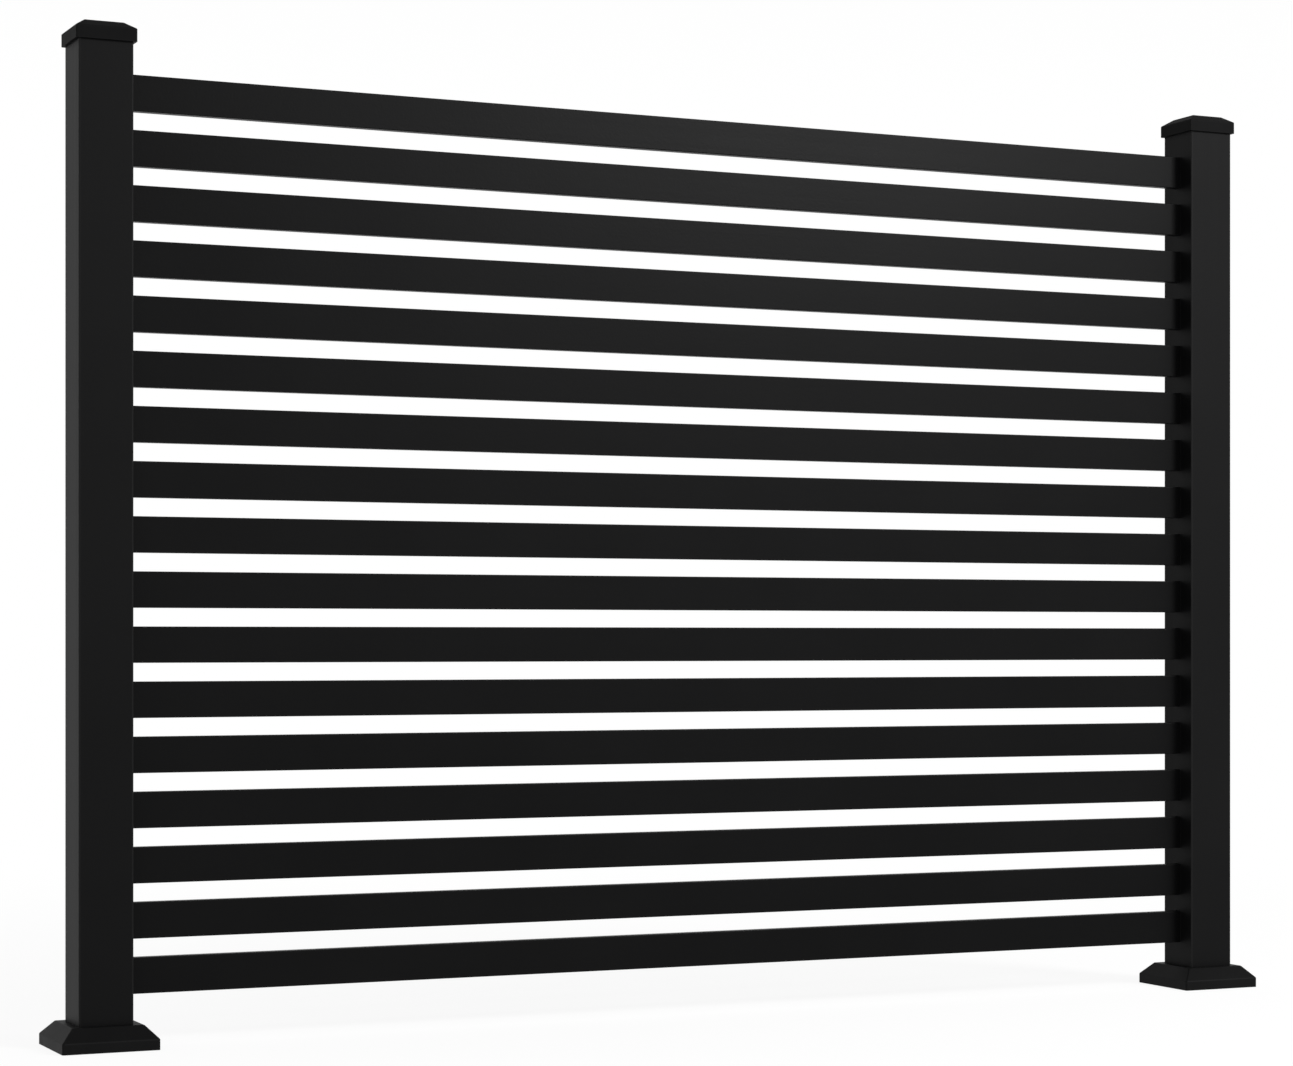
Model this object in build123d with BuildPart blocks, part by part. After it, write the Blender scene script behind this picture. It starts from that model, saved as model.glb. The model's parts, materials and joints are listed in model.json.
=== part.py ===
"""Aluminium slat fence panel between two base-plated posts.

Frame, in millimetres: the origin is the centre of the left base plate's underside, +X runs along the
panel to the right post, +Y to its back and +Z up.
"""

import os
from math import atan2, degrees

from build123d import *

# Panel
post_spacing = 1548.0
slat_count = 17
slat_gap = 22.0
lowest_slat_above_cover = 32.0
post_above_top_slat = 44.0

# Slat extrusion
slat_height = 43.0
slat_depth = 12.0
slat_wall = 1.4
slat_corner_radius = 1.2

# Post tube
post_width = 65.0
post_wall = 2.0
post_corner_radius = 1.5

# Slat ends in the posts
slot_side_clearance = 0.3
slot_top_clearance = 0.5
slat_insertion = 18.0

# Base plate, welded under the post
plate_margin = 22.5
plate_thickness = 8.0
plate_corner_radius = 6.0
anchor_offset = 10.5
anchor_hole_diameter = 11.0

# Cover round the foot of the post, over the base plate
cover_wall = 1.5
cover_plate_clearance = 1.5
cover_post_clearance = 0.3
cover_skirt_height = 12.5
cover_flank_rise = 16.0
cover_ledge_width = 10.0
cover_edge_radius = 3.0

# Post cap
cap_wall = 3.5
cap_post_clearance = 0.4
cap_skirt_drop = 11.0
cap_brim_rise = 4.0
cap_slope_rise = 8.5
cap_slope_inset = 13.0
cap_roof = 3.0
cap_edge_radius = 2.0

# Sizes and heights that follow
slat_pitch = slat_height + slat_gap
plate_width = post_width + 2 * plate_margin
anchor_spacing = post_width + 2 * anchor_offset
cover_width = plate_width + 2 * (cover_plate_clearance + cover_wall)
cover_opening = post_width + 2 * cover_post_clearance
cover_ledge_outer = cover_opening + 2 * cover_ledge_width
cover_height = cover_skirt_height + cover_flank_rise
lowest_slat_base = cover_height + lowest_slat_above_cover
top_slat_base = lowest_slat_base + (slat_count - 1) * slat_pitch
post_top = top_slat_base + slat_height + post_above_top_slat
post_bore = post_width - 2 * post_wall
cap_pocket = post_width + 2 * cap_post_clearance
cap_width = cap_pocket + 2 * cap_wall
cap_flat_width = cap_width - 2 * cap_slope_inset
slat_start = post_width / 2 - slat_insertion
slat_length = post_spacing - 2 * slat_start

post_centres = {"left": 0.0, "right": post_spacing}


def slat_base(index):
    """Height of a slat's lower face, slats counted from the top."""
    return top_slat_base - index * slat_pitch


def flank_taper(wide, narrow, rise):
    """Taper, in degrees, that brings one square in to another over a rise."""
    return degrees(atan2((wide - narrow) / 2, rise))


def build_slat(base):
    """Hollow slat whose ends stand inside both posts."""
    with BuildPart() as slat:
        with BuildSketch(Plane.YZ.offset(slat_start)):
            with Locations((0, base + slat_height / 2)):
                RectangleRounded(slat_depth, slat_height, slat_corner_radius)
                Rectangle(slat_depth - 2 * slat_wall, slat_height - 2 * slat_wall, mode=Mode.SUBTRACT)
        extrude(amount=slat_length)
    return slat.part


def build_post(centre_x, inward):
    """Square tube, punched through its inner wall for every slat end."""
    slot_height = slat_height + slot_top_clearance
    slot_centres = [(0, slat_base(index) + slot_height / 2) for index in range(slat_count)]
    with BuildPart() as post:
        with BuildSketch(Plane.XY.offset(plate_thickness)):
            with Locations((centre_x, 0)):
                RectangleRounded(post_width, post_width, post_corner_radius)
                Rectangle(post_bore, post_bore, mode=Mode.SUBTRACT)
        extrude(amount=post_top - plate_thickness)
        with BuildSketch(Plane.YZ.offset(centre_x + inward * post_bore / 2)):
            with Locations(*slot_centres):
                Rectangle(slat_depth + 2 * slot_side_clearance, slot_height)
        extrude(amount=inward * post_wall, mode=Mode.SUBTRACT)
    return post.part


def build_base_plate(centre_x):
    """Flange with four anchor holes outside the post."""
    with BuildPart() as plate:
        with BuildSketch():
            with Locations((centre_x, 0)):
                RectangleRounded(plate_width, plate_width, plate_corner_radius)
                with GridLocations(anchor_spacing, anchor_spacing, 2, 2):
                    Circle(anchor_hole_diameter / 2, mode=Mode.SUBTRACT)
        extrude(amount=plate_thickness)
    return plate.part


def build_base_cover(centre_x):
    """Cover with an upright skirt, a sloping flank and a level ledge round the post."""
    inner_width = cover_width - 2 * cover_wall
    inner_ledge = cover_ledge_outer - 2 * cover_wall
    inner_rise = cover_flank_rise - cover_wall
    with BuildPart() as cover:
        with BuildSketch():
            with Locations((centre_x, 0)):
                Rectangle(cover_width, cover_width)
        extrude(amount=cover_skirt_height)
        with BuildSketch(Plane.XY.offset(cover_skirt_height)):
            with Locations((centre_x, 0)):
                Rectangle(cover_width, cover_width)
        extrude(amount=cover_flank_rise, taper=flank_taper(cover_width, cover_ledge_outer, cover_flank_rise))
        ground_edges = cover.faces().sort_by(Axis.Z).first.edges()
        fillet(cover.edges() - ground_edges, cover_edge_radius)
        with BuildSketch():
            with Locations((centre_x, 0)):
                Rectangle(inner_width, inner_width)
        extrude(amount=cover_skirt_height, mode=Mode.SUBTRACT)
        with BuildSketch(Plane.XY.offset(cover_skirt_height)):
            with Locations((centre_x, 0)):
                Rectangle(inner_width, inner_width)
        extrude(
            amount=inner_rise,
            taper=flank_taper(inner_width, inner_ledge, inner_rise),
            mode=Mode.SUBTRACT,
        )
        with BuildSketch():
            with Locations((centre_x, 0)):
                RectangleRounded(cover_opening, cover_opening, post_corner_radius + cover_post_clearance)
        extrude(amount=cover_height, mode=Mode.SUBTRACT)
    return cover.part


def build_post_cap(centre_x):
    """Cast cap that slips over the tube and bears on its end: a low pyramid with a flat top."""
    skirt_bottom = post_top - cap_skirt_drop
    brim = post_top + cap_brim_rise
    hollow_rise = cap_brim_rise + cap_slope_rise - cap_roof
    hollow_top = cap_flat_width - 2 * cap_roof
    with BuildPart() as cap:
        with BuildSketch(Plane.XY.offset(skirt_bottom)):
            with Locations((centre_x, 0)):
                Rectangle(cap_width, cap_width)
        extrude(amount=brim - skirt_bottom)
        with BuildSketch(Plane.XY.offset(brim)):
            with Locations((centre_x, 0)):
                Rectangle(cap_width, cap_width)
        extrude(amount=cap_slope_rise, taper=flank_taper(cap_width, cap_flat_width, cap_slope_rise))
        mouth_edges = cap.faces().sort_by(Axis.Z).first.edges()
        fillet(cap.edges() - mouth_edges, cap_edge_radius)
        with BuildSketch(Plane.XY.offset(skirt_bottom)):
            with Locations((centre_x, 0)):
                Rectangle(cap_pocket, cap_pocket)
        extrude(amount=cap_skirt_drop, mode=Mode.SUBTRACT)
        with BuildSketch(Plane.XY.offset(post_top)):
            with Locations((centre_x, 0)):
                Rectangle(post_bore, post_bore)
        extrude(
            amount=hollow_rise,
            taper=flank_taper(post_bore, hollow_top, hollow_rise),
            mode=Mode.SUBTRACT,
        )
    return cap.part


def keep(part, name):
    """Label a finished piece and write its file."""
    part.label = name
    export_step(part, f"parts/{name}.step")


os.makedirs("parts", exist_ok=True)

for index in range(slat_count):
    keep(build_slat(slat_base(index)), f"slat_{index + 1:02d}")

for side, centre_x in post_centres.items():
    inward = 1 if side == "left" else -1
    keep(build_post(centre_x, inward), f"{side}_post")
    keep(build_base_plate(centre_x), f"{side}_base_plate")
    keep(build_base_cover(centre_x), f"{side}_base_cover")
    keep(build_post_cap(centre_x), f"{side}_post_cap")
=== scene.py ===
import json
import math

import bpy
import numpy as np
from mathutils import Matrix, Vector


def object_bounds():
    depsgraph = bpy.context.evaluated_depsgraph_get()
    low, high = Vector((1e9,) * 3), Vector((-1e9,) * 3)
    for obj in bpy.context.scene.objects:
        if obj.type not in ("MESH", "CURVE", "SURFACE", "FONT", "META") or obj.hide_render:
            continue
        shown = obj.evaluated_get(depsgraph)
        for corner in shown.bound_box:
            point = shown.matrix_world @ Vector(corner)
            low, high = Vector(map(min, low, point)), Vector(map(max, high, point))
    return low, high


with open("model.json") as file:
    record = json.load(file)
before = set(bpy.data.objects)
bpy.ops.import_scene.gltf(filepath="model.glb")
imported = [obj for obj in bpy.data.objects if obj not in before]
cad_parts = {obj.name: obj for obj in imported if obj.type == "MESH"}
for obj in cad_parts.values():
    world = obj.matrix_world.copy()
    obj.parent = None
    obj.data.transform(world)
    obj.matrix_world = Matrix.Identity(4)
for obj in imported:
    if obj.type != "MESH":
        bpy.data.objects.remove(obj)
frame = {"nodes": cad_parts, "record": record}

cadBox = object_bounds()
panelCentre = np.mean(cadBox, axis=0)      # metres, halfway along, through and up the panel
scene = bpy.context.scene
scene.view_settings.view_transform = "Standard"
print("frame loaded:", len(frame["nodes"]), "pieces")


# small helpers for node trees

def addNode(tree, kind, **settings):
    node = tree.nodes.new(kind)
    for key, value in settings.items():
        setattr(node, key, value)
    return node


def setInputs(node, values):
    for key, value in values.items():
        node.inputs[key].default_value = value


def newGroup(name, inputs, outputs):
    group = bpy.data.node_groups.new(name, "ShaderNodeTree")
    for label, kind in inputs.items():
        group.interface.new_socket(label, in_out="INPUT", socket_type=kind)
    for label, kind in outputs.items():
        group.interface.new_socket(label, in_out="OUTPUT", socket_type=kind)
    return group, group.nodes.new("NodeGroupInput"), group.nodes.new("NodeGroupOutput")


# powder grain: a rounded orange peel for the bump and a slow cloud for the tone

powderNoise = {
    "peelDetail": 1.0,
    "peelRoughness": 0.35,
    "cloudDetail": 3.0,
    "cloudRoughness": 0.55,
}


def makePowderGrain():
    group, given, result = newGroup(
        "powderGrain",
        {"Vector": "NodeSocketVector", "Peel Scale": "NodeSocketFloat", "Cloud Scale": "NodeSocketFloat"},
        {"Peel": "NodeSocketFloat", "Cloud": "NodeSocketFloat"})
    link = group.links.new
    peel = addNode(group, "ShaderNodeTexNoise")
    setInputs(peel, {"Detail": powderNoise["peelDetail"], "Roughness": powderNoise["peelRoughness"]})
    link(given.outputs["Vector"], peel.inputs["Vector"])
    link(given.outputs["Peel Scale"], peel.inputs["Scale"])
    link(peel.outputs["Fac"], result.inputs["Peel"])
    cloud = addNode(group, "ShaderNodeTexNoise")
    setInputs(cloud, {"Detail": powderNoise["cloudDetail"], "Roughness": powderNoise["cloudRoughness"]})
    link(given.outputs["Vector"], cloud.inputs["Vector"])
    link(given.outputs["Cloud Scale"], cloud.inputs["Scale"])
    link(cloud.outputs["Fac"], result.inputs["Cloud"])
    return group


# draw lines: noise squeezed across the run of an extrusion and stretched along it

lineNoise = {
    "scale": 1.0,                          # the stretch of each finish sets the real scale
    "detail": 2.0,
    "roughness": 0.5,
}


def makeDrawLines():
    group, given, result = newGroup(
        "drawLines",
        {"Vector": "NodeSocketVector", "Stretch": "NodeSocketVector"},
        {"Lines": "NodeSocketFloat"})
    link = group.links.new
    squeeze = addNode(group, "ShaderNodeVectorMath", operation="MULTIPLY")
    link(given.outputs["Vector"], squeeze.inputs[0])
    link(given.outputs["Stretch"], squeeze.inputs[1])
    lines = addNode(group, "ShaderNodeTexNoise")
    setInputs(lines, {"Scale": lineNoise["scale"],
                      "Detail": lineNoise["detail"],
                      "Roughness": lineNoise["roughness"]})
    link(squeeze.outputs["Vector"], lines.inputs["Vector"])
    link(lines.outputs["Fac"], result.inputs["Lines"])
    return group


# edge wear and painted highlight: how far a rounded normal turns from the real one, so edges come out near
# 1

edgeTurn = {
    "full": 0.3,                           # distance between the two normals that counts as all edge
    "samples": 4,
}


def makeEdgeWearAndHighlight():
    group, given, result = newGroup(
        "edgeWearAndHighlight",
        {"Radius": "NodeSocketFloat"},
        {"Edge": "NodeSocketFloat"})
    link = group.links.new
    bevel = addNode(group, "ShaderNodeBevel", samples=edgeTurn["samples"])
    link(given.outputs["Radius"], bevel.inputs["Radius"])
    geometry = addNode(group, "ShaderNodeNewGeometry")
    turn = addNode(group, "ShaderNodeVectorMath", operation="DISTANCE")
    link(bevel.outputs["Normal"], turn.inputs[0])
    link(geometry.outputs["Normal"], turn.inputs[1])
    spread = addNode(group, "ShaderNodeMapRange")
    setInputs(spread, {"From Max": edgeTurn["full"]})
    link(turn.outputs["Value"], spread.inputs["Value"])
    link(spread.outputs["Result"], result.inputs["Edge"])
    return group


powderGrain = makePowderGrain()
drawLines = makeDrawLines()
edgeWearAndHighlight = makeEdgeWearAndHighlight()
print("shared effects made")


# one powder coat per kind of piece: black, satin, with its own grain, lines, and edges lightened as wear
# and painted highlight

def makeCoat(name, finish):
    material = bpy.data.materials.new(name)
    material.use_nodes = True
    tree = material.node_tree
    link = tree.links.new
    shader = tree.nodes["Principled BSDF"]
    setInputs(shader, {"Specular IOR Level": finish["specularLevel"]})
    coords = addNode(tree, "ShaderNodeTexCoord")

    grain = addNode(tree, "ShaderNodeGroup", node_tree=powderGrain)
    setInputs(grain, {"Peel Scale": finish["peelScale"], "Cloud Scale": finish["cloudScale"]})
    link(coords.outputs["Object"], grain.inputs["Vector"])

    lines = addNode(tree, "ShaderNodeGroup", node_tree=drawLines)
    setInputs(lines, {"Stretch": finish["lineStretch"]})
    link(coords.outputs["Object"], lines.inputs["Vector"])

    # mask of the rounded edges, where wear and a painted highlight lighten the coat
    edge = addNode(tree, "ShaderNodeGroup", node_tree=edgeWearAndHighlight)
    setInputs(edge, {"Radius": finish["edgeRadius"]})

    # cloud and edge lighten the black a little: the cloud is random tone, the edge is wear and painted
    # highlight
    tone = addNode(tree, "ShaderNodeMix", data_type="RGBA")
    tone.inputs["A"].default_value = finish["darkColor"]
    tone.inputs["B"].default_value = finish["lightColor"]
    link(grain.outputs["Cloud"], tone.inputs["Factor"])
    wornAndHighlitEdge = addNode(tree, "ShaderNodeMix", data_type="RGBA")
    wornAndHighlitEdge.inputs["B"].default_value = finish["edgeWearAndHighlightColor"]
    link(edge.outputs["Edge"], wornAndHighlitEdge.inputs["Factor"])
    link(tone.outputs["Result"], wornAndHighlitEdge.inputs["A"])
    link(wornAndHighlitEdge.outputs["Result"], shader.inputs["Base Color"])

    # draw lines vary the sheen
    satin = addNode(tree, "ShaderNodeMapRange")
    setInputs(satin, {"To Min": finish["roughness"][0], "To Max": finish["roughness"][1]})
    link(lines.outputs["Lines"], satin.inputs["Value"])
    link(satin.outputs["Result"], shader.inputs["Roughness"])

    # peel lies over the draw lines
    lineBump = addNode(tree, "ShaderNodeBump")
    setInputs(lineBump, {"Distance": finish["lineHeight"]})
    link(lines.outputs["Lines"], lineBump.inputs["Height"])
    peelBump = addNode(tree, "ShaderNodeBump")
    setInputs(peelBump, {"Distance": finish["peelHeight"]})
    link(grain.outputs["Peel"], peelBump.inputs["Height"])
    link(lineBump.outputs["Normal"], peelBump.inputs["Normal"])
    link(peelBump.outputs["Normal"], shader.inputs["Normal"])
    return material


def dress(slotName, material):
    for piece in frame["record"]["subparts"]:
        if piece["material_slot"] == slotName:
            mesh = frame["nodes"][piece["node"]].data
            mesh.materials.clear()
            mesh.materials.append(material)


# the edge colour of each finish is edge wear and painted highlight, laid along the rounded edges
slatFinish = {
    "darkColor": (0.0020, 0.0020, 0.0021, 1.0),
    "lightColor": (0.0040, 0.0040, 0.0041, 1.0),
    "edgeWearAndHighlightColor": (0.0070, 0.0070, 0.0071, 1.0),
    "specularLevel": 0.05,
    "roughness": (0.36, 0.42),
    "peelScale": 420.0,
    "peelHeight": 0.00006,
    "cloudScale": 5.0,
    "lineStretch": (0.6, 300.0, 300.0),    # slats run along X
    "lineHeight": 0.00002,
    "edgeRadius": 0.0008,
}
dress("slat", makeCoat("slatBlackCoat", slatFinish))

postFinish = {
    "darkColor": (0.0024, 0.0024, 0.0025, 1.0),
    "lightColor": (0.0046, 0.0046, 0.0047, 1.0),
    "edgeWearAndHighlightColor": (0.0120, 0.0120, 0.0121, 1.0),
    "specularLevel": 0.055,
    "roughness": (0.46, 0.54),
    "peelScale": 380.0,
    "peelHeight": 0.00006,
    "cloudScale": 4.0,
    "lineStretch": (260.0, 260.0, 0.5),    # posts run along Z
    "lineHeight": 0.00002,
    "edgeRadius": 0.002,
}
dress("post", makeCoat("postBlackCoat", postFinish))

capFinish = {
    "darkColor": (0.0028, 0.0028, 0.0029, 1.0),
    "lightColor": (0.0048, 0.0048, 0.0049, 1.0),
    "edgeWearAndHighlightColor": (0.0080, 0.0080, 0.0081, 1.0),
    "specularLevel": 0.035,
    "roughness": (0.58, 0.66),
    "peelScale": 520.0,
    "peelHeight": 0.00006,
    "cloudScale": 18.0,
    "lineStretch": (60.0, 60.0, 60.0),     # no run, so the noise is even
    "lineHeight": 0.00002,
    "edgeRadius": 0.001,
}
dress("cap", makeCoat("capBlackCoat", capFinish))

coverFinish = {
    "darkColor": (0.0028, 0.0028, 0.0029, 1.0),
    "lightColor": (0.0050, 0.0050, 0.0051, 1.0),
    "edgeWearAndHighlightColor": (0.0080, 0.0080, 0.0081, 1.0),
    "specularLevel": 0.05,
    "roughness": (0.48, 0.56),
    "peelScale": 520.0,
    "peelHeight": 0.00006,
    "cloudScale": 14.0,
    "lineStretch": (40.0, 40.0, 40.0),     # no run, as on the caps
    "lineHeight": 0.00002,
    "edgeRadius": 0.0012,
}
dress("base_cover", makeCoat("coverBlackCoat", coverFinish))

plateFinish = {
    "darkColor": (0.0040, 0.0040, 0.0041, 1.0),
    "lightColor": (0.0070, 0.0070, 0.0071, 1.0),
    "edgeWearAndHighlightColor": (0.0110, 0.0110, 0.0111, 1.0),
    "specularLevel": 0.05,
    "roughness": (0.55, 0.65),
    "peelScale": 300.0,
    "peelHeight": 0.00004,
    "cloudScale": 12.0,
    "lineStretch": (30.0, 30.0, 30.0),     # no run, as on the caps
    "lineHeight": 0.00002,
    "edgeRadius": 0.001,
}
dress("base_plate", makeCoat("plateBlackCoat", plateFinish))
print("finishes set")


# floor: a flat square just under the plates, pale round the panel and fading to the white surround

floorLook = {
    "size": 60.0,
    "drop": 0.0005,                        # metres under the base plates, so that the two faces never meet
    "color": (0.94, 0.94, 0.94, 1.0),
    "roughness": 0.9,
    "specularLevel": 0.0,
    "fadeStart": 0.88,                     # share of white where the panel stands
    "fadeRadius": 3.0,                     # metres out to where the floor is all white
}


def sightRays(tree):                       # 1 for rays that show the floor, 0 for light that bounces off it
    path = addNode(tree, "ShaderNodeLightPath")
    straight = addNode(tree, "ShaderNodeMath", operation="MAXIMUM")
    tree.links.new(path.outputs["Is Camera Ray"], straight.inputs[0])
    tree.links.new(path.outputs["Is Glossy Ray"], straight.inputs[1])
    seen = addNode(tree, "ShaderNodeMath", operation="MAXIMUM")
    tree.links.new(straight.outputs["Value"], seen.inputs[0])
    tree.links.new(path.outputs["Is Transmission Ray"], seen.inputs[1])
    return seen.outputs["Value"]


def makePaleFloor():
    material = bpy.data.materials.new("paleFloor")
    material.use_nodes = True
    tree = material.node_tree
    link = tree.links.new
    shader = tree.nodes["Principled BSDF"]
    setInputs(shader, {"Base Color": floorLook["color"],
                       "Roughness": floorLook["roughness"],
                       "Specular IOR Level": floorLook["specularLevel"]})

    # white takes over with distance from the panel
    coords = addNode(tree, "ShaderNodeTexCoord")
    away = addNode(tree, "ShaderNodeVectorMath", operation="DISTANCE")
    away.inputs[1].default_value = (panelCentre[0], panelCentre[1], 0.0)
    link(coords.outputs["Object"], away.inputs[0])
    fade = addNode(tree, "ShaderNodeMapRange", interpolation_type="SMOOTHSTEP")
    setInputs(fade, {"From Max": floorLook["fadeRadius"], "To Min": floorLook["fadeStart"]})
    link(away.outputs["Value"], fade.inputs["Value"])
    share = addNode(tree, "ShaderNodeMath", operation="MULTIPLY")
    link(fade.outputs["Result"], share.inputs[0])
    link(sightRays(tree), share.inputs[1])
    white = addNode(tree, "ShaderNodeEmission")
    blend = addNode(tree, "ShaderNodeMixShader")
    link(share.outputs["Value"], blend.inputs["Fac"])
    link(shader.outputs["BSDF"], blend.inputs[1])
    link(white.outputs["Emission"], blend.inputs[2])

    # clear from below, so that the underside of the panel can be seen
    geometry = addNode(tree, "ShaderNodeNewGeometry")
    clear = addNode(tree, "ShaderNodeBsdfTransparent")
    sides = addNode(tree, "ShaderNodeMixShader")
    link(geometry.outputs["Backfacing"], sides.inputs["Fac"])
    link(blend.outputs["Shader"], sides.inputs[1])
    link(clear.outputs["BSDF"], sides.inputs[2])
    link(sides.outputs["Shader"], tree.nodes["Material Output"].inputs["Surface"])
    return material


def makeFloor():
    square = np.array([(-1, -1, 0), (1, -1, 0), (1, 1, 0), (-1, 1, 0)])
    corners = square * floorLook["size"] / 2 - (0, 0, floorLook["drop"])
    mesh = bpy.data.meshes.new("floor")
    mesh.from_pydata(corners.tolist(), [], [(0, 1, 2, 3)])
    mesh.materials.append(makePaleFloor())
    floor = bpy.data.objects.new("floor", mesh)
    scene.collection.objects.link(floor)


# surround: white at the horizon and dimmer overhead

surround = {
    "horizonLight": 1.0,
    "zenithLight": 0.50,
    "dimFrom": 0.15,                       # height of the sight line, 0 level and 1 straight up
    "dimTo": 0.85,
}


def makeWorld():
    world = bpy.data.worlds.new("studio")
    scene.world = world
    world.use_nodes = True
    tree = world.node_tree
    background = tree.nodes["Background"]
    coords = addNode(tree, "ShaderNodeTexCoord")
    height = addNode(tree, "ShaderNodeSeparateXYZ")
    tree.links.new(coords.outputs["Generated"], height.inputs["Vector"])
    dim = addNode(tree, "ShaderNodeMapRange", interpolation_type="SMOOTHSTEP")
    setInputs(dim, {"From Min": surround["dimFrom"],
                    "From Max": surround["dimTo"],
                    "To Min": surround["horizonLight"],
                    "To Max": surround["zenithLight"]})
    tree.links.new(height.outputs["Z"], dim.inputs["Value"])
    tree.links.new(dim.outputs["Result"], background.inputs["Color"])


# one soft lamp in front to the right, aimed at the middle of the panel

frontLamp = {
    "place": (3.0, -3.5, 2.7),
    "size": 1.2,
    "power": 190.0,
}


def makeLamp():
    data = bpy.data.lights.new("frontLamp", "AREA")
    data.size = frontLamp["size"]
    data.energy = frontLamp["power"]
    lamp = bpy.data.objects.new("frontLamp", data)
    lamp.location = frontLamp["place"]
    reach = panelCentre - frontLamp["place"]
    tilt = math.acos(-reach[2] / np.linalg.norm(reach))            # a lamp shines along its own -Z
    heading = math.atan2(reach[1], reach[0]) - math.pi / 2
    lamp.rotation_euler = (tilt, 0, heading)
    scene.collection.objects.link(lamp)


makeFloor()
makeWorld()
makeLamp()
print("stage set")


# camera, level, with its view shifted up so that the uprights stay parallel

view = {
    "place": (-0.9146, -3.5206, 0.4775),
    "turn": 24.735,                        # degrees from +Y towards +X
    "focalPixels": 3050.0,
    "horizonRow": 640.0,
    "imageSize": (1293, 1066),
}


def makeCamera():
    width, height = view["imageSize"]
    data = bpy.data.cameras.new("camera")
    data.lens = view["focalPixels"] / width * data.sensor_width
    data.shift_y = (view["horizonRow"] - height / 2) / width
    camera = bpy.data.objects.new("camera", data)
    camera.location = view["place"]
    camera.rotation_euler = (math.radians(90), 0, -math.radians(view["turn"]))
    scene.collection.objects.link(camera)
    scene.camera = camera


makeCamera()
print("camera set")
